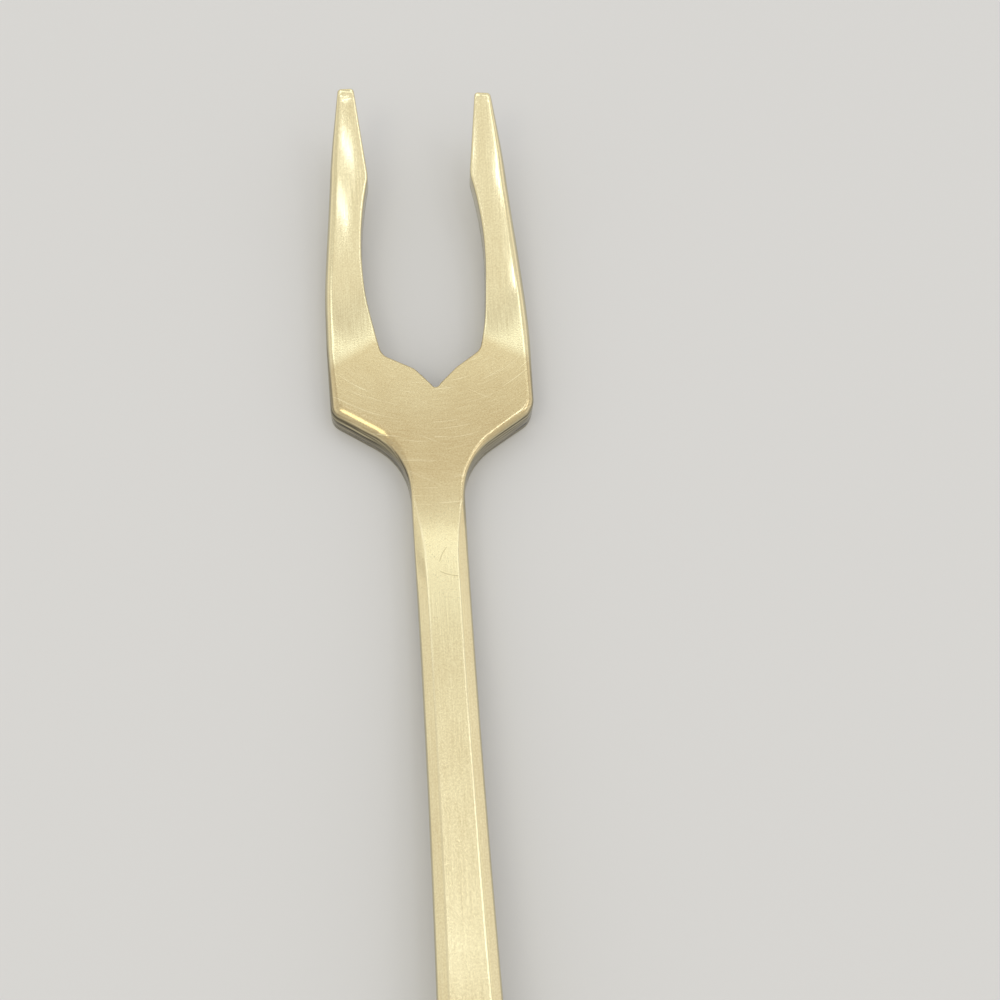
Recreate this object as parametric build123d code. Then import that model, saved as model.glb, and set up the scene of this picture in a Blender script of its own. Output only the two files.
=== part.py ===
from build123d import *
from math import radians, tan
import os

# Sizes in millimetres. Y runs along the fork towards the tips, X across it, Z up from the table.
overall_length = 150.0       # tips to the end of the handle

# Head and tines, seen from above. Insets are measured from the straight lines of the head's sides
head_width = 16.0            # across the roots of the tines
root_height = 3.8            # roots of the tines, where the flat head ends, above the bottom of the notch
tine_length = 25.35          # bottom of the notch to the tip of the longer, left tine
right_tip_short = 0.6        # right tine is this much shorter
tip_width = 1.12             # each blunt tip
tip_corner_radius = 0.4      # corners of the tips, seen from above
tip_inset = 1.94             # outer corners of the tips
barb_setback = 7.2           # left tip back to the barbs
barb_radius = 0.6            # rounding of the barbs' corners
barb_inset = 0.95            # outer edges at the barbs
barb_width = 2.95            # outer edge of a tine to its barb
tip_slope = 0.16             # lean of the outer edges at the tips, sideways per length
barb_slope = 0.08            # lean of the outer edges at the barbs
slot_inset = 3.08            # sides of the slot where it is widest
slot_setback = 13.65         # left tip back to that place
slot_corner_inset = 4.15     # two corners of the slot's base
slot_corner_height = 3.05    # those corners, above the bottom of the notch
slot_corner_radius = 1.3
lobe_gap = 3.7               # across the two rounded lobes beside the notch
lobe_height = 1.6            # those lobes, above the bottom of the notch
lobe_radius = 2.0
notch_radius = 0.9
notch_root = 0.44            # where the notch's sides would meet, below its rounded bottom

# Shoulders, neck and handle, seen from above
shoulder_inset = 0.15        # shoulder corners
shoulder_drop = 1.85         # shoulder corners below the bottom of the notch
shoulder_angle = 33.3        # fall of the shoulders towards the neck, in degrees
shoulder_radius = 1.3
neck_radius = 5.5
waist_width = 3.92           # narrowest place of the handle
waist_drop = 22.0            # that place below the bottom of the notch
end_width = 12.0             # across the corners of the handle's end
end_bulge = 3.0              # rounding of the end beyond those corners
end_corner_radius = 3.0

# Side view
head_thickness = 2.6
flat_back = 5.4              # where the flat head ends, behind the bottom of the notch
tip_lift = 5.3               # underside of the left tip above the table
tip_thickness = 0.9
neck_drop = 14.65            # place on the neck where the handle climbs, behind the bottom of the notch
neck_lift = 0.4              # underside of the neck there above the table
neck_slope = 0.089           # climb of the neck there, height per length
crest_drop = 67.65           # crest of the handle, behind the bottom of the notch
crest_lift = 2.66            # underside of the crest above the table
crest_thickness = 2.7
foot_setback = 9.0           # where the handle rests, ahead of its end
foot_thickness = 2.0
end_lift = 0.7               # underside of the end above the table
end_thickness = 1.8

# Edges
edge_radius = 0.3            # rounding of the edges round the top
bevel_run = 0.8              # width of the handle's top bevels, seen from above
bevel_fall = 0.6             # height of those bevels
bevel_start = 6.4            # bevels begin this far below the bottom of the notch
bevel_fade = 8.0             # length over which they reach their full width
bevel_end = 10.0             # bevels stop this far from the end of the handle
bevel_sections = 22          # stretches between the sections that shape a bevel

# How corners and faces are picked
corner_reach = 0.05          # a corner this near to its place is the one meant
facing = 0.7                 # least upward part of the normal of a face on the top

# Where the fork is divided
tine_start = 5.0             # ahead of the bottom of the notch
neck_start = 6.6             # behind the bottom of the notch
handle_start = 17.0          # behind the bottom of the notch

side_x = head_width / 2
tip_y = overall_length / 2
end_y = -overall_length / 2
notch_y = tip_y - tine_length
root_y = notch_y + root_height
flat_end_y = notch_y - flat_back
waist_y = notch_y - waist_drop
end_corner_y = end_y + end_bulge
flare_rise = (end_width - waist_width) / 2
flare_radius = ((waist_y - end_corner_y) ** 2 + flare_rise ** 2) / (2 * flare_rise)


def mirrored_face(*half_outline):
    """Face inside a right-hand outline that starts and ends on the middle line, and its mirror image."""
    half = Curve() + list(half_outline)
    return make_face((half + mirror(half, Plane.YZ)).edges())


def rounded_at(face, y, radius):
    """The outline with its corners at one place along the fork rounded."""
    corners = [corner for corner in face.vertices() if abs(corner.Y - y) < corner_reach]
    return fillet(corners, radius)


def handle_half_width(y):
    """Half the handle's width: each side is an arc that touches the waist."""
    return waist_width / 2 + flare_radius - (flare_radius ** 2 - (y - waist_y) ** 2) ** 0.5


def blade_outline():
    """Head and tines from above, with the slot still filled and the shoulders meeting on the middle line."""
    tip = (side_x - tip_inset, tip_y)
    barb = (side_x - barb_inset, tip_y - barb_setback)
    root = (side_x, root_y)
    shoulder = (side_x - shoulder_inset, notch_y - shoulder_drop)
    shoulder_meet = (0, shoulder[1] - shoulder[0] * tan(radians(shoulder_angle)))
    face = mirrored_face(
        Line((0, tip_y), tip),
        Spline(tip, barb, root, tangents=[(tip_slope, -1), (barb_slope, -1), (0, -1)]),
        Line(root, shoulder),
        Line(shoulder, shoulder_meet),
    )
    return rounded_at(face, shoulder[1], shoulder_radius)


def handle_outline():
    """Handle from above, from under the head to its rounded end."""
    top = (handle_half_width(notch_y - shoulder_drop), notch_y - shoulder_drop)
    waist = (waist_width / 2, waist_y)
    end_corner = (end_width / 2, end_corner_y)
    face = mirrored_face(
        Line((0, top[1]), top),
        ThreePointArc(top, waist, end_corner),
        TangentArc((0, end_y), end_corner, tangent=(1, 0)),
    )
    return rounded_at(face, end_corner_y, end_corner_radius)


def slot_outline():
    """Gap between the tines from above: barbs, round corners, lobes and the notch in the middle."""
    mouth = tip_y + tip_width
    tip = (side_x - tip_inset - tip_width, tip_y)
    barb = (side_x - barb_inset - barb_width, tip_y - barb_setback)
    widest = (side_x - slot_inset, tip_y - slot_setback)
    corner = (side_x - slot_corner_inset, notch_y + slot_corner_height)
    lobe = (lobe_gap / 2, notch_y + lobe_height)
    notch = (0, notch_y - notch_root)
    face = mirrored_face(
        Line((0, mouth), (tip[0], mouth)),
        Line((tip[0], mouth), tip),
        Line(tip, barb),
        TangentArc(widest, barb, tangent=(0, 1)),
        TangentArc(widest, corner, tangent=(0, -1)),
        Polyline(corner, lobe, notch),
    )
    face = rounded_at(face, barb[1], barb_radius)
    face = rounded_at(face, corner[1], slot_corner_radius)
    face = rounded_at(face, lobe[1], lobe_radius)
    return rounded_at(face, notch[1], notch_radius)


def plan_outline():
    """The whole fork from above."""
    face = blade_outline() + handle_outline()
    highest = notch_y - shoulder_drop - shoulder_radius
    neck_corners = face.vertices().filter_by_position(Axis.Y, highest - side_x, highest)
    short_tip = Pos(side_x - tip_inset, tip_y) * Rectangle(side_x, 2 * right_tip_short)
    return fillet(neck_corners, neck_radius) - slot_outline() - short_tip


def underside_of_handle():
    """Underside of the handle from the side: up from the head to its crest and down to where it rests."""
    along = (-1, 0)
    return Spline(
        (flat_end_y, 0),
        (notch_y - neck_drop, neck_lift),
        (notch_y - crest_drop, crest_lift),
        (end_y + foot_setback, 0),
        (end_y, end_lift),
        tangents=[along, (-1, neck_slope), along, along, (-foot_setback, 2 * end_lift)],
    )


def top_of_handle():
    """Top of the handle from the side, one thickness above its underside."""
    along = (-1, 0)
    return Spline(
        (flat_end_y, head_thickness),
        (notch_y - neck_drop, neck_lift + head_thickness),
        (notch_y - crest_drop, crest_lift + crest_thickness),
        (end_y + foot_setback, foot_thickness),
        (end_y, end_lift + end_thickness),
        tangents=[along, (-1, neck_slope), along, along, (-foot_setback, 2 * end_lift)],
    )


def side_outline():
    """The whole fork from the side, drawn with Y across and Z up."""
    tip_top = tip_lift + tip_thickness
    edges = [
        Line((flat_end_y, 0), (root_y, 0)),
        TangentArc((root_y, 0), (tip_y, tip_lift), tangent=(1, 0)),
        Line((tip_y, tip_lift), (tip_y, tip_top)),
        TangentArc((root_y, head_thickness), (tip_y, tip_top), tangent=(1, 0)),
        Line((root_y, head_thickness), (flat_end_y, head_thickness)),
        top_of_handle(),
        Line((end_y, end_lift + end_thickness), (end_y, end_lift)),
        underside_of_handle(),
    ]
    return make_face(edges)


def fork_blank():
    """The fork with square edges: what its outlines from above and from the side have in common."""
    tallest = crest_lift + crest_thickness + tip_lift + tip_thickness
    from_above = extrude(plan_outline(), tallest)
    from_side = extrude(Plane.YZ.offset(-head_width) * side_outline(), 2 * head_width)
    blank = from_above & from_side
    upright_edges = blank.edges().filter_by(Axis.Z)
    tip_edges = upright_edges.filter_by_position(Axis.Y, tip_y - 2 * right_tip_short, tip_y)
    return fillet(tip_edges, tip_corner_radius)


def top_rim(solid):
    """Edges round the top of the fork."""
    faces = solid.faces().filter_by(lambda face: face.normal_at().Z > facing)
    edges = [edge for face in faces for edge in face.edges()]
    return [edge for edge in edges if sum(edge.is_same(other) for other in edges) == 1]


def faded(along, length):
    """Share of the bevel's full size, easing in and out over the fade length at both ends."""
    share = min(1, along / bevel_fade, (length - along) / bevel_fade)
    return share * share * (3 - 2 * share)


def bevel_cutter():
    """Wedge that takes the bevel off the right-hand top edge of the handle."""
    top = top_of_handle()
    first = bevel_start - flat_back
    length = top.length - first - bevel_end
    stations = [length * step / bevel_sections for step in range(bevel_sections + 1)]
    wedges = []
    for along in stations:
        spot = top.position_at(first + along, position_mode=PositionMode.LENGTH)
        edge = Vector(handle_half_width(spot.X), spot.Y)
        lean = Vector(bevel_run, -bevel_fall)
        high = edge - Vector(bevel_run, 0) * faded(along, length)
        wedge = Polyline(high - lean, high + lean * 2, high + Vector(2 * bevel_run, bevel_fall), close=True)
        wedges.append(Plane((0, spot.X, 0), x_dir=(1, 0, 0), z_dir=(0, -1, 0)) * make_face(wedge.edges()))
    return loft(wedges)


def whole_fork():
    """The blank with its top edges rounded, and bevelled along the handle."""
    rounded = fillet(top_rim(fork_blank()), edge_radius)
    right_wedge = bevel_cutter()
    return rounded - right_wedge - mirror(right_wedge, Plane.YZ)


def stretch_of(fork, back, front):
    """Stretch of the fork between two places along Y."""
    size = fork.bounding_box().size
    slab = Box(2 * size.X, front - back, 4 * size.Z, align=(Align.CENTER, Align.MIN, Align.CENTER))
    return fork & Pos(0, back, 0) * slab


def named_pieces():
    """The fork is one piece of steel: it is divided here by name, and nothing joins it at these places."""
    fork = whole_fork()
    tine_y = notch_y + tine_start
    neck_y = notch_y - neck_start
    handle_y = notch_y - handle_start
    left_tine, right_tine = stretch_of(fork, tine_y, tip_y).solids().sort_by(Axis.X)
    return {
        "left_tine": left_tine,
        "right_tine": right_tine,
        "head": stretch_of(fork, neck_y, tine_y),
        "neck": stretch_of(fork, handle_y, neck_y),
        "handle": stretch_of(fork, end_y, handle_y),
    }


os.makedirs("parts", exist_ok=True)
for name, piece in named_pieces().items():
    export_step(piece, f"parts/{name}.step")
    print(f"{name}: {piece.volume:.1f} cubic mm")
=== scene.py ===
# %% [markdown]
# # A two-tined oyster fork in satin steel
# The real fork is one blank of stainless steel: stamped flat, forged to its side curve, then brushed.
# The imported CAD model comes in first, as a fixed frame in metres. It divides the fork into five named
# stretches, but steel has no seams there, so one unbroken skin is modelled over them here. The skin is
# drawn in millimetres and scaled to metres when its shape is done.

# %% Load the frame
import math

import bmesh
import bpy
import numpy as np
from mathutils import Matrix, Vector
from mathutils.geometry import interpolate_bezier
from mathutils.kdtree import KDTree


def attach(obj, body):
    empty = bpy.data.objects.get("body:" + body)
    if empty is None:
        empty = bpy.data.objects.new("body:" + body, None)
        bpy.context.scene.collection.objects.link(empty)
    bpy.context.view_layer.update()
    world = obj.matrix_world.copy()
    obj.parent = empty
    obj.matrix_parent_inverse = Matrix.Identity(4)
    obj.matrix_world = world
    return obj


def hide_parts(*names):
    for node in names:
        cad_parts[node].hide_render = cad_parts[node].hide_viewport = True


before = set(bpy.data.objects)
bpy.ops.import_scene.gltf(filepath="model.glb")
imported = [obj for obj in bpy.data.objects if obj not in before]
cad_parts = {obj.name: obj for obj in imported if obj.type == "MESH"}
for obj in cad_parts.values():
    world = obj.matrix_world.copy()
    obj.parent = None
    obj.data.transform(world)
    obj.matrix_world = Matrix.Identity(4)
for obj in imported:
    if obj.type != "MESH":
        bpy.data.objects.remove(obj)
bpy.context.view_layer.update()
scene = bpy.context.scene
scene.view_settings.view_transform = "Standard"
mm = 0.001

# %% [markdown]
# ## Camera
# The photograph was taken by hand from above the handle, a little to its left, looking forward and down
# at the head. Its place and turn were found by laying the CAD outline over the picture.

# %% Camera
camera_spot, camera_turn = (-3.37, 0.0, 107.91), (21.00, -2.77, -4.13)
camera_data = bpy.data.cameras.new("camera")
camera_data.lens = 54.0
camera_data.sensor_width = 36.0
camera_data.clip_start = 0.005
camera = bpy.data.objects.new("camera", camera_data)
camera.location = Vector(camera_spot) * mm
camera.rotation_euler = [math.radians(turn) for turn in camera_turn]
scene.collection.objects.link(camera)
scene.camera = camera
print("camera", [round(c / mm, 1) for c in camera.location], "mm")

# %% [markdown]
# ## Outline of the blank
# A stamped fork starts as a flat outline. It could be a curve object, but a polygon is easier to inset
# and cut later, so the outline is walked point by point: straight runs, Bezier curves with two handles,
# and rounded corners. Only the right half is drawn. It is mirrored next, and what the two halves do
# differently is pushed into place after that.

# %% Tools for the outline
waist_y, waist_half = 27.65, 1.96
flare_radius, flare_end_y = 1231.0, -69.6


def flank(y):
    """Half the handle's width: a long arc that touches the waist."""
    return waist_half + (y - waist_y) ** 2 / (2 * flare_radius)


def curve_to(path, handle, far_handle, end, pieces):
    """A Bezier curve from the path's last point."""
    points = [Vector((x, y, 0)) for x, y in (path[-1], handle, far_handle, end)]
    path.extend((p.x, p.y) for p in interpolate_bezier(*points, pieces + 1)[1:])


def corner_to(path, corner, beyond, radius, pieces):
    """A straight run towards a corner and a round of that radius, on the way to the point beyond."""
    at = Vector(corner)
    back, ahead = (Vector(path[-1]) - at).normalized(), (Vector(beyond) - at).normalized()
    half = back.angle(ahead) / 2
    leg = radius / math.tan(half)
    pull = 1 - 4 / 3 * math.tan((math.pi / 2 - half) / 2) * math.tan(half)
    path.append(tuple(at + back * leg))
    curve_to(path, at + back * leg * pull, at + ahead * leg * pull, at + ahead * leg, pieces)


print("half width of the handle at its waist and foot:", flank(waist_y), round(flank(flare_end_y), 2), "mm")

# %% Right half of the outline
half_width = 8.0
tip_y, end_y, notch_y, root_y = 75.0, -75.0, 49.65, 53.45
lobe_corner, shoulder_corner, neck_corner = (3.85, notch_y + 3.05), (7.85, notch_y - 1.85), (2.07, 44.0)
outline = [(0.0, notch_y)]

# from the floor of the notch, up its side and over the lobe
curve_to(outline, (0.254, notch_y), (0.496, notch_y + 0.107), (0.667, notch_y + 0.295), 6)
corner_to(outline, (1.85, notch_y + 1.6), lobe_corner, 2.0, 5)
corner_to(outline, lobe_corner, (4.08, notch_y + 3.97), 1.3, 7)

# along the tine's inner edge, past the barb and across the tip
curve_to(outline, (4.60, 55.84), (4.92, 58.59), (4.92, 61.35), 14)
curve_to(outline, (4.92, 63.5), (4.62, 65.75), (4.20, 67.42), 11)
curve_to(outline, (4.13, 67.7), (4.13, 68.05), (4.16, 68.3), 4)
curve_to(outline, (4.42, 70.5), (4.68, 72.8), (4.94, tip_y), 12)
outline.append((6.06, tip_y))

# back along the outer edge, round the shoulder and into the neck
curve_to(outline, (6.44, 72.6), (6.86, 70.2), (7.05, 67.8), 14)
curve_to(outline, (7.43, 63.02), (half_width, 58.23), (half_width, root_y), 26)
corner_to(outline, shoulder_corner, neck_corner, 1.3, 7)
corner_to(outline, neck_corner, (1.97, waist_y), 5.5, 12)
top_y = outline[-1][1]
outline[-1] = (flank(top_y), top_y)

# along the handle, through the waist, to its rounded end
third = (top_y - flare_end_y) / 3
near_handle = (flank(top_y) + third * (waist_y - top_y) / flare_radius, top_y - third)
far_handle = (flank(flare_end_y) - third * (waist_y - flare_end_y) / flare_radius, flare_end_y + third)
curve_to(outline, near_handle, far_handle, (flank(flare_end_y), flare_end_y), 110)
curve_to(outline, (5.95, -71.6), (4.9, -73.0), (3.2, -74.27), 8)
curve_to(outline, (2.2, -74.85), (0.9, end_y), (0.0, end_y), 8)
print("outline points on the right half:", len(outline))

# %% [markdown]
# ## The flat blank
# Mirroring gives the left half and the two faces are joined. The right tine of this fork ends a little
# shorter than the left, so a bisecting plane trims it before the four corners of the tips are rounded
# with a vertex bevel.

# %% Flat blank
right_tip_short, tip_round = 0.6, 0.26


def with_edges(faces):
    """Faces with their corners and edges, each once, in the form that the cutting operator takes."""
    corners = dict.fromkeys(v for f in faces for v in f.verts)
    edges = dict.fromkeys(e for f in faces for e in f.edges)
    return [*faces, *corners, *edges]


blank = bmesh.new()
right = blank.faces.new([blank.verts.new((x, y, 0)) for x, y in outline])
bmesh.ops.mirror(blank, geom=[right] + right.verts[:] + right.edges[:], axis="X", merge_dist=0.001)
right_faces = [f for f in blank.faces if f.calc_center_median().x > 0]
bmesh.ops.bisect_plane(blank, geom=with_edges(right_faces), dist=1e-4, clear_outer=True,
                       plane_co=(0, tip_y - right_tip_short, 0), plane_no=(0, 1, 0))
bmesh.ops.dissolve_faces(blank, faces=blank.faces[:])
highest = {side: max(v.co.y for v in blank.verts if v.co.x * side > 0) for side in (-1, 1)}


def own_tip(x):
    """Where the tine on that side ends."""
    return highest[1 if x > 0 else -1]


tip_corners = [v for v in blank.verts if abs(v.co.y - own_tip(v.co.x)) < 1e-3]
bmesh.ops.bevel(blank, geom=tip_corners, offset=tip_round, offset_type="OFFSET", segments=5, profile=0.5,
                affect="VERTICES", material=-1, clamp_overlap=True)
blank.faces.ensure_lookup_table()
if blank.faces[0].normal.z < 0:
    bmesh.ops.reverse_faces(blank, faces=blank.faces[:])
print("flat blank:", len(blank.faces), "face with", len(blank.verts), "corners, tips at", highest)

# %% [markdown]
# ## Uneven halves
# A fork is ground and polished by hand after stamping, so its halves are not quite alike. On this one the
# lobe left of the notch is fuller, which moves the notch to the right, the right shoulder hangs lower, and
# the left tine is a little wider. A second half outline could draw that, but sliding a few corners of the
# flat blank is less work. Small tables give the share of each slide across the fork.

# %% Uneven halves
lobe_growth, slot_shift, shoulder_drop, tine_growth = 0.55, 0.13, 0.5, 0.14
lobe_x, lobe_share = (-3.5, -2.0, -0.67, 0.0, 0.67, 1.6), (0, 1, 0.95, 0.35, -0.2, 0)
shoulder_x, shoulder_share = (2.0, 6.4, 7.3, 7.8, 8.0), (0.75, 1.0, 0.85, 0.35, 0)
slot_y, tine_middle = notch_y - 0.1, 5.5
shift_end_y, shift_fade = notch_y + 9, 4.0
shoulder_low_y, shoulder_high_y = top_y - 0.05, 50.0
tine_fade = 6.0


def ease(share):
    """0 to 1 with a soft start and a soft stop."""
    share = min(1.0, max(0.0, share))
    return share * share * (3 - 2 * share)


for vert in blank.verts:
    x, y, _ = vert.co
    if y > slot_y and abs(x) < tine_middle:
        fuller = float(np.interp(x, lobe_x, lobe_share))
        vert.co.x += lobe_growth * fuller + slot_shift * ease((shift_end_y - y) / shift_fade)
    elif x > 0 and shoulder_low_y < y < shoulder_high_y:
        vert.co.y -= shoulder_drop * float(np.interp(x, shoulder_x, shoulder_share))
    elif x < 0 and y > root_y:
        vert.co.x = max(-half_width, x - tine_growth * ease((y - root_y) / tine_fade))
print("lobe grown by", lobe_growth, "mm, right shoulder lowered by", shoulder_drop, "mm")

# %% [markdown]
# ## Bevels and rounded edges
# Polishing eases every edge of the real fork: softly round the shoulders, hardly at all in the slot. Two
# long bevels run along the handle and fade in behind the neck. A bevel operator has one width, and these
# change along the edge, so functions give the bevel and the radius of the edge at any place. They shape
# the rim in the steps that follow.

# %% Bevels and rounded edges
bevel_run, bevel_fall, bevel_fade = 0.8, 0.6, 8.0
bevel_first_y, bevel_last_y = notch_y - 6.4, end_y + 10.0
left_bevel_delay = 3.7
barb_y, low_tine_middle = 66, 6.0
slot_places, slot_radii = (50, 54, 60, 68, 75), (0.14, 0.14, 0.15, 0.16, 0.14)
rim_places = (-75, -66, -58, 35, 38, 41, 43.5, 45.5, 46.7, 48.2, 53, 68, 73, 75)
rim_radii = (0.3, 0.3, 0.14, 0.14, 0.18, 0.3, 0.6, 1.2, 1.3, 1.0, 0.65, 0.6, 0.38, 0.16)
shoulder_y, shoulder_reach, right_crispness = 46.5, 4.0, 0.5


def bevel_share(y):
    """Share of the handle bevel's full width at a place along the fork."""
    return ease(min(bevel_first_y - y, y - bevel_last_y) / bevel_fade)


def bevel_depth(x, y):
    """Share of the bevel's full slope: the left bevel starts shallow and reaches it later."""
    return ease((bevel_first_y - left_bevel_delay - y) / bevel_fade) if x < 0 and y > 0 else 1.0


def rim_radius(x, y):
    """Rounding of the top edge: crisp in the slot, soft on the shoulders, nearly sharp along the bevels."""
    if y > slot_y and abs(x) < (tine_middle if y > barb_y else low_tine_middle):
        return float(np.interp(y, slot_places, slot_radii))
    radius = float(np.interp(y, rim_places, rim_radii))
    crisper = right_crispness * ease(1.6 - abs(y - shoulder_y) / shoulder_reach)
    return radius * (1 - crisper) if x > 0 else radius


print("edge radius on the left and right shoulder:",
      [round(rim_radius(x, shoulder_y), 2) for x in (-half_width, half_width)], "mm")

# %% [markdown]
# ## Rings along the rim
# To take a rounded edge and a bevel, the rim needs rows of vertices that follow the outline. Seven insets
# lay rings along it, very close together, and each ring then slides inwards to its own place: four share
# out the rounded edge and three the fold where a bevel ends. Layers on the vertices remember the distance
# from the edge and the radius there. Three more are for the steel: cut walls, worn edges with a painted
# highlight on the bevel folds, and the underside, which gives the walls a painted light on their lower edge.

# %% Rings along the rim
ring_turns, ring_gap = (22.5, 45, 67.5, 90), 0.01
rim_step, fold_step, fold_blend = 0.02, 0.12, 0.06
layer_names = ("from_edge", "edge_radius", "wall", "wear_and_highlight", "low")
from_edge, edge_radius, wall, wear_and_highlight, low = [blank.verts.layers.float.new(name) for name in layer_names]
blank.faces.ensure_lookup_table()
plate = blank.faces[0]
rim = plate.verts[:]
ring_count = len(ring_turns) + 3
for ring in range(1, ring_count + 1):
    bmesh.ops.inset_individual(blank, faces=[plate], thickness=ring_gap, use_even_offset=True)
    for vert in plate.verts:
        vert[from_edge] = ring
for vert in rim:
    chain = [vert]
    for ring in range(1, ring_count + 1):
        others = [edge.other_vert(chain[-1]) for edge in chain[-1].link_edges]
        chain.append(next(other for other in others if abs(other[from_edge] - ring) < 0.5))
    inwards = (chain[-1].co - vert.co) / (ring_gap * ring_count)
    x, y, _ = vert.co
    radius, crease = rim_radius(x, y), bevel_run * bevel_share(y)
    places = [radius * (1 - math.cos(math.radians(turn))) for turn in ring_turns]
    for step in (-1, 0, 1):
        rim_end, fold = radius + rim_step * (step + 2), crease + fold_step * step
        places.append((rim_end + fold + math.hypot(rim_end - fold, fold_blend)) / 2)
    vert[edge_radius] = radius
    for link, place in zip(chain[1:], places):
        link.co = vert.co + inwards * place
        link[from_edge], link[edge_radius] = place, radius
print("rings:", ring_count, "round", len(rim), "points of the outline")

# %% [markdown]
# ## Rows and columns
# Only a divided face can be bent. Planes cut the blank across, every half millimetre from the neck forwards
# and every millimetre along the handle, and cut the plain inner area lengthwise as well. A second material
# index marks that inner area until the cuts are made. A search tree then finds how far its vertices lie
# from the edge.

# %% Rows and columns
row_gap, fine_rows_y, cut_snap = 0.5, 28.0, 0.04
rows = [step * row_gap for step in range(-149, 150)]
columns = [step * row_gap for step in range(-15, 16)]
edge_tree = KDTree(len(rim))
for i, vert in enumerate(rim):
    edge_tree.insert(vert.co, i)
edge_tree.balance()
plate.material_index = 1
for y in [row for row in rows if row > fine_rows_y or row % 1 == 0]:
    bmesh.ops.bisect_plane(blank, geom=blank.verts[:] + blank.edges[:] + blank.faces[:], dist=cut_snap,
                           plane_co=(0, y, 0), plane_no=(0, 1, 0))
for x in columns:
    inner = [face for face in blank.faces if face.material_index == 1]
    bmesh.ops.bisect_plane(blank, geom=with_edges(inner), dist=cut_snap,
                           plane_co=(x, 0, 0), plane_no=(1, 0, 0))
for face in blank.faces:
    if face.material_index == 1:
        for vert in face.verts:
            vert[from_edge] = max(vert[from_edge], edge_tree.find(vert.co)[2])
    face.material_index = 0
print("blank with rings, rows and columns:", len(blank.faces), "faces")

# %% [markdown]
# ## Side curve
# From the side, the head lies flat. The handle turns up at the neck, climbs to a low crest and comes down
# to rest near its end. A curve modifier could bend the blank, but it would keep one thickness. Two height
# curves, for the top and the underside, bend it and thin it at once. Bezier stretches between a few knots
# give them.

# %% Side curve
flat_end_y, neck_y, crest_y, foot_y = 44.25, 37.3, -18.0, -66.0
head_thickness, neck_top, crest_top, foot_top, end_top = 2.6, 2.78, 5.36, 2.0, 2.5
neck_under, crest_under, end_under = 0.2, 2.66, 0.7
neck_slope, end_top_slope, end_under_slope = -0.085, -0.11, -0.155


def side_curve(*knots):
    """Height along the fork between knots of place, height and slope."""
    points = []
    for (y, z, slope), (to_y, to_z, to_slope) in zip(knots, knots[1:]):
        third = (to_y - y) / 3
        near, far = (y + third, z + third * slope), (to_y - third, to_z - third * to_slope)
        points += interpolate_bezier(*[Vector((a, b, 0)) for a, b in ((y, z), near, far, (to_y, to_z))], 120)
    points.sort(key=lambda p: p.x)
    along, height = [p.x for p in points], [p.y for p in points]
    return lambda y: float(np.interp(y, along, height))


handle_top = side_curve((flat_end_y, head_thickness, 0), (neck_y, neck_top, neck_slope),
                        (crest_y, crest_top, 0), (foot_y, foot_top, 0), (end_y, end_top, end_top_slope))
handle_under = side_curve((flat_end_y, 0, 0), (neck_y, neck_under, neck_slope),
                          (crest_y, crest_under, 0), (foot_y, 0, 0), (end_y, end_under, end_under_slope))
print("top at neck, crest and foot:", [round(handle_top(y), 2) for y in (neck_y, crest_y, foot_y)], "mm")

# %% [markdown]
# ## Tines from the side
# The tines curve up from the head in an arc. The underside rises more than the top, so they thin towards
# the tips. Polishing leaves them slightly crowned across, and the right one leans outwards a little, which
# moves the highlight on it towards its outer edge.

# %% Tines from the side
tip_top_lift, tip_under_lift = 3.6, 5.3
right_lean, tine_curl = 0.044, 0.087
lobe_end_x = 3.9


def tine_rise(y, lift):
    """Height that a tine has gained: an arc that leaves the head level."""
    run = tip_y - root_y
    radius = (run ** 2 + lift ** 2) / (2 * lift)
    return radius - math.sqrt(radius ** 2 - (y - root_y) ** 2)


def top_height(y):
    """Top of the fork along its middle."""
    if y > flat_end_y:
        return head_thickness + (tine_rise(y, tip_top_lift) if y > root_y else 0.0)
    return handle_top(y)


def under_height(y):
    """Underside of the fork along its middle."""
    if y > flat_end_y:
        return tine_rise(y, tip_under_lift) if y > root_y else 0.0
    return handle_under(y)


tine_points = [(x, y) for x, y in outline if y > root_y - 0.5 and x > lobe_end_x]
outer_run = sorted((y, x) for x, y in tine_points if x > tine_middle)
inner_run = sorted((y, x) for x, y in tine_points if x < tine_middle)


def tine_crown(x, y):
    """Drop from the middle of a tine to its edges, with the lean of the right tine."""
    outer, inner = (float(np.interp(y, *zip(*run))) for run in (outer_run, inner_run))
    half = (outer - inner) / 2
    share = max(-1.0, min(1.0, (abs(x) - inner) / half - 1))
    lean = right_lean if x > 0 else 0.0
    return half * (lean * share + tine_curl * share ** 2 / 2) * ease((y - root_y) / tine_fade)


print("thickness at the tips:", round(top_height(tip_y) - under_height(tip_y), 2), "mm")

# %% [markdown]
# ## Thickness
# Extruding the flat blank gives it a top and an underside. Each vertex then goes to its height: the side
# curve, less the rounding of the rim, the slope of the handle's bevel, the crown of a tine, and the small
# facet that is ground at each tip. Rims are marked as worn, because hands and polishing wheels reach them
# first, and the bevel folds are marked in the same layer as a painted highlight line.

# %% Thickness
tip_facet, tip_fall = 0.65, 0.27
under_radius = 0.14
rim_wear, wear_radius, full_fold = 0.5, 0.4, 0.4
wear_part, wear_least, wear_reach = 0.7, 0.06, 1.3


def rounded(distance, radius):
    """Drop of a rounded edge at a distance from it."""
    return radius - math.sqrt(radius ** 2 - (radius - distance) ** 2) if distance < radius else 0.0


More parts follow.
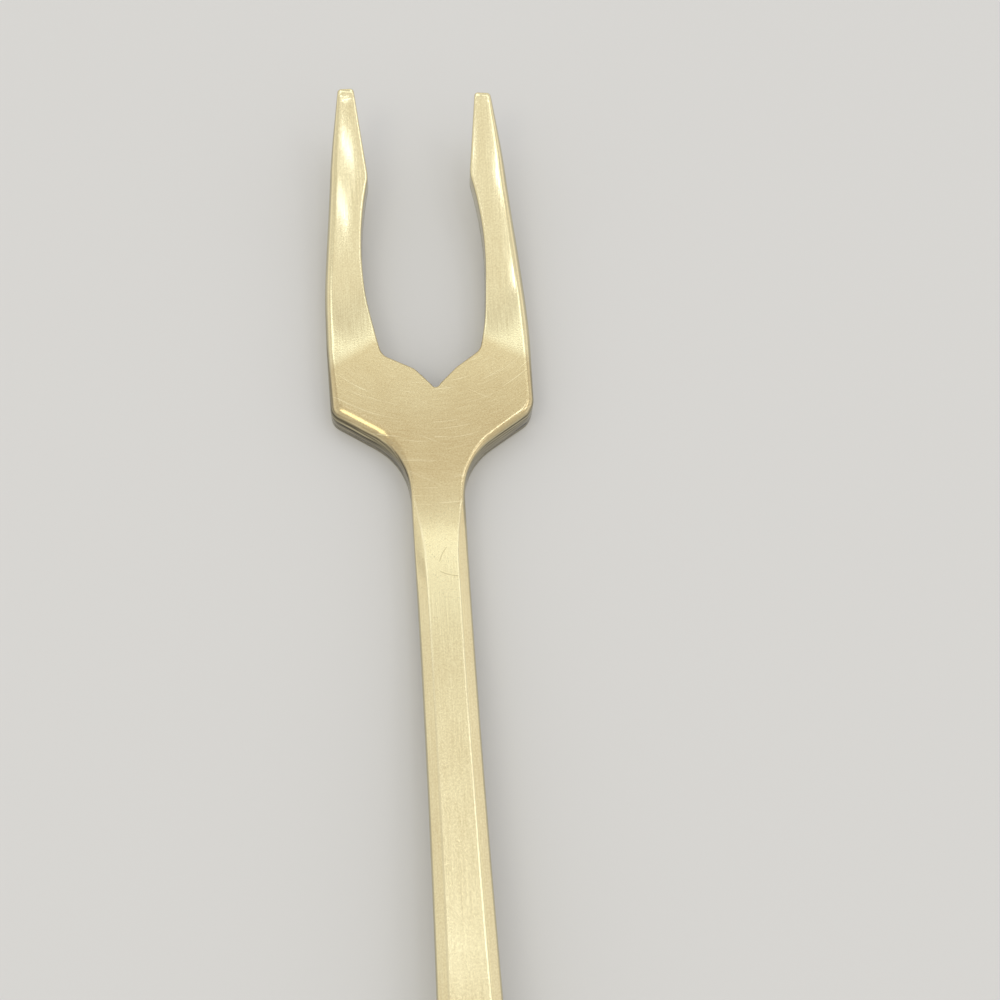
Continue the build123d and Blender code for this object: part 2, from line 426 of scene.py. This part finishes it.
made = bmesh.ops.extrude_face_region(blank, geom=blank.faces[:])
upper = {v for v in made["geom"] if isinstance(v, bmesh.types.BMVert)}
for vert in blank.verts:
    x, y, _ = vert.co
    place, radius = vert[from_edge], vert[edge_radius]
    if vert in upper:
        fold = bevel_run * bevel_share(y)
        slope = max(0.0, fold - place) * bevel_fall / bevel_run * bevel_depth(x, y)
        facet = max(0.0, y - own_tip(x) + tip_facet) * tip_fall
        vert.co.z = top_height(y) - rounded(place, radius) - slope - facet - tine_crown(x, y)
        # painted highlight: the bevel fold is marked bright in the same layer as the worn rims
        fold_highlight = max(0.0, 1 - abs(place - fold) / fold_step) * ease(fold / full_fold)
        wear_run = wear_part * min(radius, wear_radius) + wear_least
        vert[wear_and_highlight] = max(rim_wear * ease(wear_reach - place / wear_run), fold_highlight)
    else:
        vert.co.z = under_height(y) + rounded(place, min(radius, under_radius))
        vert[low] = 1.0
bmesh.ops.recalc_face_normals(blank, faces=blank.faces[:])
blank.normal_update()
heights = [vert.co.z for vert in blank.verts]
print("heights from", round(min(heights), 3), "to", round(max(heights), 3), "mm")

# %% [markdown]
# ## The finished skin
# The shape is now marked and made an object: upright faces count as cut walls, and all faces are shaded
# smooth. The fork rides on its one body and stands for the five stretches of the CAD model, so these are
# hidden. It sits at the origin, because its place is in its mesh.

# %% The finished skin
wall_upright, wall_fade = 0.88, 0.5
for vert in blank.verts:
    vert[wall] = ease((wall_upright - abs(vert.normal.z)) / wall_fade)
for face in blank.faces:
    face.smooth = True
bmesh.ops.scale(blank, vec=(mm, mm, mm), verts=blank.verts[:])
skin = bpy.data.meshes.new("fork")
blank.to_mesh(skin)
blank.free()
fork = bpy.data.objects.new("fork", skin)
scene.collection.objects.link(fork)
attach(fork, "root")
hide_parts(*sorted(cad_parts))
print("fork:", len(skin.polygons), "faces")

# %% [markdown]
# ## Satin steel
# The fork is stainless steel, brushed along the tines and the handle, and rubbed in arcs across the head.
# What the eye sees is broad soft reflections broken by fine lines, in a warm champagne tone. It could be
# one colour with a roughness map, but here the tone changes too: the head is darkened by painted shade, worn
# edges are brighter with a painted highlight on the bevel folds, and the cut walls keep streaks with painted
# shade under the shoulders. So one tree of nodes mixes these finishes and painted light, and one small
# function adds each node to it.

# %% Satin steel: tools
def linear(hex_colour):
    """sRGB hex to the linear colour that Blender works in."""
    parts = [int(hex_colour[i:i + 2], 16) / 255 for i in (1, 3, 5)]
    return [p / 12.92 if p <= 0.04045 else ((p + 0.055) / 1.055) ** 2.4 for p in parts] + [1.0]


def add(tree, kind, sockets, **settings):
    """Adds a node. Its sockets get values, or links from an output or from a node's first output in use."""
    node = tree.nodes.new("ShaderNode" + kind)
    for name, value in settings.items():
        setattr(node, name, value)
    for socket, value in sockets.items():
        if isinstance(value, bpy.types.Node):
            value = next(output for output in value.outputs if output.enabled)
        if isinstance(value, bpy.types.NodeSocket):
            tree.links.new(value, node.inputs[socket])
        else:
            node.inputs[socket].default_value = value
    return node


# stainless steel with a brushed satin finish: soft, slightly streaked reflections in a warm tone
steel = bpy.data.materials.new("satin_stainless_steel")
steel.use_nodes = True
tree = steel.node_tree
shader = tree.nodes["Principled BSDF"]
position = add(tree, "TexCoord", {}).outputs["Object"]
axes = add(tree, "SeparateXYZ", {"Vector": position}).outputs
print("material", steel.name, "starts with", len(tree.nodes), "nodes")

# %% [markdown]
# ## Brushing
# A belt brushes the tines and the handle lengthwise, and a hand pad rubs the head in arcs round a point
# between the tines. Noise that is stretched one way gives such lines. For the arcs it is stretched in polar
# coordinates: distance from the point, and angle round it. Real lines are about 0.03 mm wide, too fine for
# the picture, so they are drawn 0.08 mm wide.

# %% Brushing
line_width, line_length = 0.08 * mm, 3.0 * mm
rub_centre, arcs_per_radian = (0.0, 59.5 * mm, 0.0), 7.0
line_scale = (1 / line_width, 1 / line_length, 1 / line_length)
lengthwise = add(tree, "Mapping", {"Vector": position, "Scale": line_scale})
lines = add(tree, "TexNoise", {"Vector": lengthwise, "Scale": 1.0, "Detail": 1.0, "Roughness": 0.5})
from_centre = add(tree, "VectorMath", {0: position, 1: rub_centre}, operation="SUBTRACT")
on_plate = add(tree, "VectorMath", {0: from_centre, 1: (1, 1, 0)}, operation="MULTIPLY")
reach = add(tree, "VectorMath", {0: on_plate}, operation="LENGTH")
from_axes = add(tree, "SeparateXYZ", {"Vector": from_centre}).outputs
angle = add(tree, "Math", {0: from_axes["X"], 1: from_axes["Y"]}, operation="ARCTAN2")
across = add(tree, "Math", {0: reach, 1: 1 / line_width}, operation="MULTIPLY")
around = add(tree, "Math", {0: angle, 1: arcs_per_radian}, operation="MULTIPLY")
arc_place = add(tree, "CombineXYZ", {"X": across, "Y": around})
arcs = add(tree, "TexNoise", {"Vector": arc_place, "Scale": 1.0, "Detail": 3.0, "Roughness": 0.7})
print("brush lines", line_width / mm, "mm wide")

# %% [markdown]
# ## Where the finishes change
# The rubbed head begins softly behind the neck and ends in a slanted line at the roots of the tines. Map
# Range nodes turn a place along the fork into a share from 0 to 1. The pits near the neck and the painted
# shade on the walls under the shoulders get theirs here too.

# %% Where the finishes change
stretches = {"past_neck": (35.5, 43.5), "near_neck": (29.0, 34.0), "behind_head": (42.0, 38.0),
             "short_of_tines": (59.0, 48.5)}
share_of = {}
for name, (from_y, to_y) in stretches.items():
    limits = {"Value": axes["Y"], "From Min": from_y * mm, "From Max": to_y * mm}
    share_of[name] = add(tree, "MapRange", limits, interpolation_type="SMOOTHSTEP")
root_slant, tines_from, tines_to = 0.6, 57.2 * mm, 55.8 * mm
sideways = add(tree, "Math", {0: axes["X"]}, operation="ABSOLUTE")
slanted = add(tree, "Math", {0: sideways, 1: root_slant, 2: axes["Y"]}, operation="MULTIPLY_ADD")
before_tines = add(tree, "MapRange", {"Value": slanted, "From Min": tines_from, "From Max": tines_to},
                   interpolation_type="SMOOTHSTEP")
on_head = add(tree, "Math", {0: share_of["past_neck"], 1: before_tines}, operation="MULTIPLY")
pit_zone = add(tree, "Math", {0: share_of["near_neck"], 1: share_of["behind_head"]}, operation="MULTIPLY")
wall_shade_zone = add(tree, "Math", {0: share_of["past_neck"], 1: share_of["short_of_tines"]},
                 operation="MULTIPLY")
brushing = add(tree, "Mix", {"Factor": on_head, "A": lines, "B": arcs})
print("soft steps along the fork:", ", ".join(share_of))

# %% [markdown]
# ## Hairlines
# Use leaves bright hairlines on the head, most along the rubbing and some straight across it. Only the
# peaks of a stretched noise are kept, which leaves a few separate lines. They too are drawn wider than the
# real ones, about 0.1 mm, so that they show.

# %% Hairlines
hair_width, hairs_per_radian, hair_seed = 0.09 * mm, 2.8, 7.3
straight_width, straight_length, straight_turn = 0.1 * mm, 8 * mm, math.radians(27)
hair_from, straight_from, hair_full, hair_strength = 0.68, 0.69, 0.75, 0.4
flat_place = add(tree, "VectorMath", {0: position, 1: (1, 1, 0)}, operation="MULTIPLY")
fine_across = add(tree, "Math", {0: reach, 1: 1 / hair_width}, operation="MULTIPLY")
long_around = add(tree, "Math", {0: angle, 1: hairs_per_radian}, operation="MULTIPLY")
hair_place = add(tree, "CombineXYZ", {"X": fine_across, "Y": long_around, "Z": hair_seed})
hair_noise = add(tree, "TexNoise", {"Vector": hair_place, "Scale": 1.0, "Detail": 1.0})
hair = add(tree, "MapRange", {"Value": hair_noise, "From Min": hair_from, "From Max": hair_full})
turned = add(tree, "Mapping", {"Vector": flat_place, "Rotation": (0, 0, straight_turn)})
straight_scale = (1 / straight_length, 1 / straight_width, 1.0)
straight = add(tree, "Mapping", {"Vector": turned, "Scale": straight_scale})
straight_noise = add(tree, "TexNoise", {"Vector": straight, "Scale": 1.0, "Detail": 1.0})
straight_hair = add(tree, "MapRange", {"Value": straight_noise, "From Min": straight_from,
                                       "From Max": hair_full})
either = add(tree, "Math", {0: hair, 1: straight_hair}, operation="MAXIMUM")
hairlines = add(tree, "Math", {0: either, 1: on_head}, operation="MULTIPLY")
hair_share = add(tree, "Math", {0: hairlines, 1: hair_strength}, operation="MULTIPLY")
print("hairlines", hair_width / mm, "mm wide on the head")

# %% [markdown]
# ## Scratches
# Two deeper scratches lie near the neck, one along the handle and one across it. Each is part of a circle:
# a thin band at one distance from a centre, kept only inside a small box. They could be cut into the mesh,
# but at under 0.1 mm wide a dark line in the steel is enough.

# %% Scratches
scratch_edge, scratch_core, scratch_strength = 0.045 * mm, 0.015 * mm, 0.5


def scratch(centre, radius, first, last):
    """Share of a scratch: near a circle, inside a box from its first to its last corner, in millimetres."""
    middle = (centre[0] * mm, centre[1] * mm, 0.0)
    away = add(tree, "VectorMath", {0: flat_place, 1: middle}, operation="DISTANCE")
    off = add(tree, "Math", {0: away, 1: radius * mm}, operation="SUBTRACT")
    gap = add(tree, "Math", {0: off}, operation="ABSOLUTE")
    line = add(tree, "MapRange", {"Value": gap, "From Min": scratch_edge, "From Max": scratch_core})
    for axis, start, stop in zip("XY", first, last):
        above = add(tree, "Math", {0: axes[axis], 1: start * mm}, operation="GREATER_THAN")
        below = add(tree, "Math", {0: axes[axis], 1: stop * mm}, operation="LESS_THAN")
        span = add(tree, "Math", {0: above, 1: below}, operation="MULTIPLY")
        line = add(tree, "Math", {0: line, 1: span}, operation="MULTIPLY")
    return line


long_scratch = scratch((2.55, 34.55), 2.84, (-0.3, 35.25), (1.0, 36.4))
cross_scratch = scratch((1.35, 37.1), 3.05, (-0.18, 33.9), (1.15, 34.6))
scratches = add(tree, "Math", {0: long_scratch, 1: cross_scratch}, operation="MAXIMUM")
print("two scratches", 2 * scratch_edge / mm, "mm wide near the neck")

# %% [markdown]
# ## Tone of the steel
# Satin steel is mottled: a fine grain, the brush lines and broad patches all lighten or darken it. They are
# added up in fixed shares and spread between a dark and a light champagne tone. Painted shade darkens the
# tone a little behind the tines and much more on the head, for the dimmer reflection of the flat head. The
# grain is drawn 0.13 mm wide, several times the real one, so that it shows.

# %% Tone of the steel
satin_dark, satin_light, hair_light = "#BFAB80", "#F6F1CB", "#FDF7D5"
patch_size, grain_size = 5 * mm, 0.13 * mm
patch_part, grain_part, brush_part = 0.2, 0.38, 0.24
behind_tines_painted_shade, head_painted_shade = -0.06, -0.27
darkest, lightest = -0.075, 0.725
patches = add(tree, "TexNoise", {"Vector": position, "Scale": 1 / patch_size, "Detail": 2.0})
patch_tone = add(tree, "Math", {0: patches, 1: patch_part}, operation="MULTIPLY")
speckle = add(tree, "TexNoise", {"Vector": position, "Scale": 1 / grain_size, "Detail": 1.0})
grain = add(tree, "Math", {0: speckle, 1: grain_part, 2: patch_tone}, operation="MULTIPLY_ADD")
tone = add(tree, "Math", {0: brushing, 1: brush_part, 2: grain}, operation="MULTIPLY_ADD")
# painted shade: the tone is darkened behind the tines, and much more on the head
tone_shaded_behind_tines = add(tree, "Math", {0: before_tines, 1: behind_tines_painted_shade, 2: tone}, operation="MULTIPLY_ADD")
tone_and_painted_shade = add(tree, "Math", {0: on_head, 1: head_painted_shade, 2: tone_shaded_behind_tines}, operation="MULTIPLY_ADD")
tone_range = add(tree, "MapRange", {"Value": tone_and_painted_shade, "From Min": darkest, "From Max": lightest})
satin = add(tree, "Mix", {"Factor": tone_range, "A": linear(satin_dark), "B": linear(satin_light)},
            data_type="RGBA")
scratched = add(tree, "Mix", {"Factor": hair_share, "A": satin, "B": linear(hair_light)}, data_type="RGBA")
print("satin from", satin_dark, "to", satin_light)

# %% [markdown]
# ## Pits, worn edges and a painted fold highlight
# Tiny pits darken the steel near the neck, where the polish did not reach the bottom of the forged surface.
# They are the peaks of the same grain, so they need no noise of their own, and the two scratches share
# their colour. Worn rims are brighter, by the layer that was marked on the vertices, and the same layer
# paints a highlight along the bevel folds.

# %% Pits and worn edges
mark_dark, edge_wear_and_highlight_colour = "#9C8C64", "#FAF4D5"
pit_from, pit_full, pit_strength, edge_strength = 0.62, 0.74, 0.5, 0.28
pit = add(tree, "MapRange", {"Value": speckle, "From Min": pit_from, "From Max": pit_full,
                             "To Max": pit_strength})
pit_share = add(tree, "Math", {0: pit, 1: pit_zone}, operation="MULTIPLY")
marks = add(tree, "Math", {0: scratches, 1: scratch_strength, 2: pit_share}, operation="MULTIPLY_ADD",
            use_clamp=True)
pitted = add(tree, "Mix", {"Factor": marks, "A": scratched, "B": linear(mark_dark)}, data_type="RGBA")
# real wear on the rims and a painted highlight on the bevel folds, both lightened
wear_and_highlight_share = add(tree, "Attribute", {}, attribute_name="wear_and_highlight").outputs["Fac"]
polish_and_highlight = add(tree, "Math", {0: wear_and_highlight_share, 1: edge_strength}, operation="MULTIPLY")
edge_wear_and_highlight = add(tree, "Mix", {"Factor": polish_and_highlight, "A": pitted, "B": linear(edge_wear_and_highlight_colour)}, data_type="RGBA")
print("marks", mark_dark, "and edges", edge_wear_and_highlight_colour)

# %% [markdown]
# ## Cut walls
# The stamping tool leaves streaks along the sides of the blank. They are noise that is stretched along the
# fork and squeezed in height, drawn 0.15 mm wide, coarser than real ones. Under the shoulders the walls are
# darkened with painted shade, for the dark ground that they mirror. The right walls are lifted a little
# with painted light from the right, and the lower edge of each wall gets painted light from below.

# %% Cut walls
wall_dull, wall_shadow, wall_light, low_light = "#BDB59A", "#453F36", "#CDC3A1", "#E4DCBA"
streak_length, streak_width = 5 * mm, 0.15 * mm
streak_from, streak_full, right_light_lift = 0.4, 0.64, 0.04
low_from, low_full, low_strength = 0.72, 0.95, 0.6
streak_scale = (1 / streak_length, 1 / streak_length, 1 / streak_width)
along_wall = add(tree, "Mapping", {"Vector": position, "Scale": streak_scale})
streaks = add(tree, "TexNoise", {"Vector": along_wall, "Scale": 1.0, "Detail": 3.0, "Roughness": 0.6})
# painted light: the walls on the right are a little lighter, as if lit from that side
right_painted_light = add(tree, "MapRange", {"Value": axes["X"], "From Min": -1 * mm, "From Max": 1 * mm,
                                    "To Max": right_light_lift})
streaks_and_right_light = add(tree, "Math", {0: streaks, 1: right_painted_light}, operation="ADD")
streak_range = add(tree, "MapRange", {"Value": streaks_and_right_light, "From Min": streak_from, "From Max": streak_full})
# painted shade: the walls under the shoulders are darkened
wall_painted_shade = add(tree, "Mix", {"Factor": wall_shade_zone, "A": linear(wall_dull), "B": linear(wall_shadow)},
                data_type="RGBA")
cut_wall = add(tree, "Mix", {"Factor": streak_range, "A": wall_painted_shade, "B": linear(wall_light)},
               data_type="RGBA")
# painted light along the lower edge of the walls
low_share = add(tree, "Attribute", {}, attribute_name="low").outputs["Fac"]
low_painted_light = add(tree, "MapRange", {"Value": low_share, "From Min": low_from, "From Max": low_full,
                                  "To Max": low_strength})
lit_wall = add(tree, "Mix", {"Factor": low_painted_light, "A": cut_wall, "B": linear(low_light)}, data_type="RGBA")
wall_share = add(tree, "Attribute", {}, attribute_name="wall").outputs["Fac"]
colour = add(tree, "Mix", {"Factor": wall_share, "A": edge_wear_and_highlight, "B": lit_wall}, data_type="RGBA")
tree.links.new(colour.outputs["Result"], shader.inputs["Base Color"])
shader.inputs["Metallic"].default_value = 1.0
print("walls streaked every", streak_width / mm, "mm")

# %% [markdown]
# ## Sheen and relief
# Satin steel blurs what it mirrors. The tines are polished most, so their highlights are tight, and the
# head and handle are rougher. The brush lines vary the roughness a little, and a very shallow bump, 0.03 mm
# at most, breaks up the highlights as the real lines do. The metal's IOR keeps its default.

# %% Sheen and relief
smoothest, roughest, rubbed_extra = 0.1, 0.14, 0.07
brush_low, brush_high = 0.3, 0.7
relief_strength, relief_depth = 0.12, 0.03 * mm
sheen = add(tree, "MapRange", {"Value": brushing, "From Min": brush_low, "From Max": brush_high,
                               "To Min": smoothest, "To Max": roughest})
rubbed = add(tree, "Math", {0: before_tines, 1: rubbed_extra, 2: sheen}, operation="MULTIPLY_ADD")
relief = add(tree, "Bump", {"Height": tone, "Strength": relief_strength, "Distance": relief_depth})
tree.links.new(rubbed.outputs[0], shader.inputs["Roughness"])
tree.links.new(relief.outputs[0], shader.inputs["Normal"])
skin.materials.append(steel)
print("satin steel:", len(tree.nodes), "nodes")

# %% [markdown]
# ## Floor
# A plain pale sheet of paper lies under the fork. A bright metal fork needs a quiet ground: it mirrors the
# paper on its walls, and its soft shadow shows where the handle leaves the table. One large square is
# enough, since the camera looks down.

# %% Floor
floor_half, paper_colour, paper_roughness = 1.5, "#D4D6DA", 0.9
floor_bm = bmesh.new()
bmesh.ops.create_grid(floor_bm, x_segments=1, y_segments=1, size=floor_half)
floor_mesh = bpy.data.meshes.new("floor")
floor_bm.to_mesh(floor_mesh)
floor_bm.free()
floor = bpy.data.objects.new("floor", floor_mesh)
scene.collection.objects.link(floor)
# matt paper: an even pale ground without glare
paper = bpy.data.materials.new("pale_paper")
paper.use_nodes = True
paper_shader = paper.node_tree.nodes["Principled BSDF"]
paper_shader.inputs["Base Color"].default_value = linear(paper_colour)
paper_shader.inputs["Roughness"].default_value = paper_roughness
floor_mesh.materials.append(paper)
print("floor:", 2 * floor_half, "m square")

# %% [markdown]
# ## Light
# Metal shows what it reflects, so each lamp is placed for its reflection. A broad panel above and the pale
# room give the body of the tone. A strip further forward shows as a band on the neck and at the roots of
# the tines. Two small boxes shine on the left tine and two on the right one. A panel on the right draws the
# bright line along the bevel, a box on the left the glint on the shoulder, and two weak side panels light
# the walls. An area lamp needs a direction as seen from the spot that mirrors it, and a brightness.

# %% Room and lamps
room_colour, room_strength = (1.0, 0.955, 0.88, 1.0), 0.87
world = bpy.data.worlds.new("room")
world.use_nodes = True
world.node_tree.nodes["Background"].inputs["Color"].default_value = room_colour
world.node_tree.nodes["Background"].inputs["Strength"].default_value = room_strength
scene.world = world


def softbox(name, spot, towards, size, radiance, colour, distance=0.9):
    """An area lamp seen from a spot on the fork in some direction, with its power from its brightness."""
    data = bpy.data.lights.new(name, "AREA")
    data.shape = "RECTANGLE"
    data.size, data.size_y = size
    data.energy = radiance * math.pi * size[0] * size[1]
    data.color = colour
    lamp = bpy.data.objects.new(name, data)
    direction = Vector(towards).normalized()
    lamp.location = Vector(spot) * mm + direction * distance
    lamp.rotation_euler = direction.to_track_quat("Z", "Y").to_euler()
    scene.collection.objects.link(lamp)


def forwards(lean, aside=0.0):
    """Direction that leans forwards and aside from straight up, in degrees."""
    return (math.tan(math.radians(aside)), math.tan(math.radians(lean)), 1.0)


cool_strip, cool_right, cool_left = (0.86, 0.97, 1.0), (0.78, 0.87, 1.0), (0.74, 0.83, 1.0)
softbox("panel above", (0, 50, 3), forwards(6), (0.7, 0.54), 0.16, (1.0, 0.98, 0.93))
softbox("front strip", (0, 53, 3), forwards(29.4), (1.3, 0.066), 1.3, cool_strip)
softbox("small box", (-5.8, 69.7, 5), forwards(5.0, -1.6), (0.12, 0.024), 3.0, cool_left)
softbox("second small box", (-5.8, 65.6, 5), forwards(11.7, -3.6), (0.12, 0.017), 3.7, cool_left)
softbox("right box", (6.2, 68, 5), forwards(7.8, 16.5), (0.14, 0.065), 4.7, cool_right)
softbox("second right box", (6.6, 59.3, 3.5), forwards(19.4, 17.0), (0.13, 0.032), 4.5, cool_right)
softbox("right panel", (2, 8, 5), (0.57, 0.13, 0.81), (0.4, 0.16), 1.2, (1.0, 0.99, 0.97))
softbox("left box", (-6, 46, 2), (-0.42, -0.29, 0.86), (0.3, 0.3), 1.9, (1.0, 0.93, 0.68))
softbox("right side panel", (2, 20, 3), (0.95, 0.12, 0.28), (1.2, 0.4), 0.22, (1.0, 0.95, 0.94))
softbox("left side panel", (-2, 20, 3), (-0.95, 0.12, 0.28), (1.2, 0.4), 0.16, (1.0, 0.96, 0.88))

# %% [markdown]
# ## Finish
# The finished fork's vertex count is printed.

# %% Finish
print("fork of", len(skin.vertices), "vertices is ready")
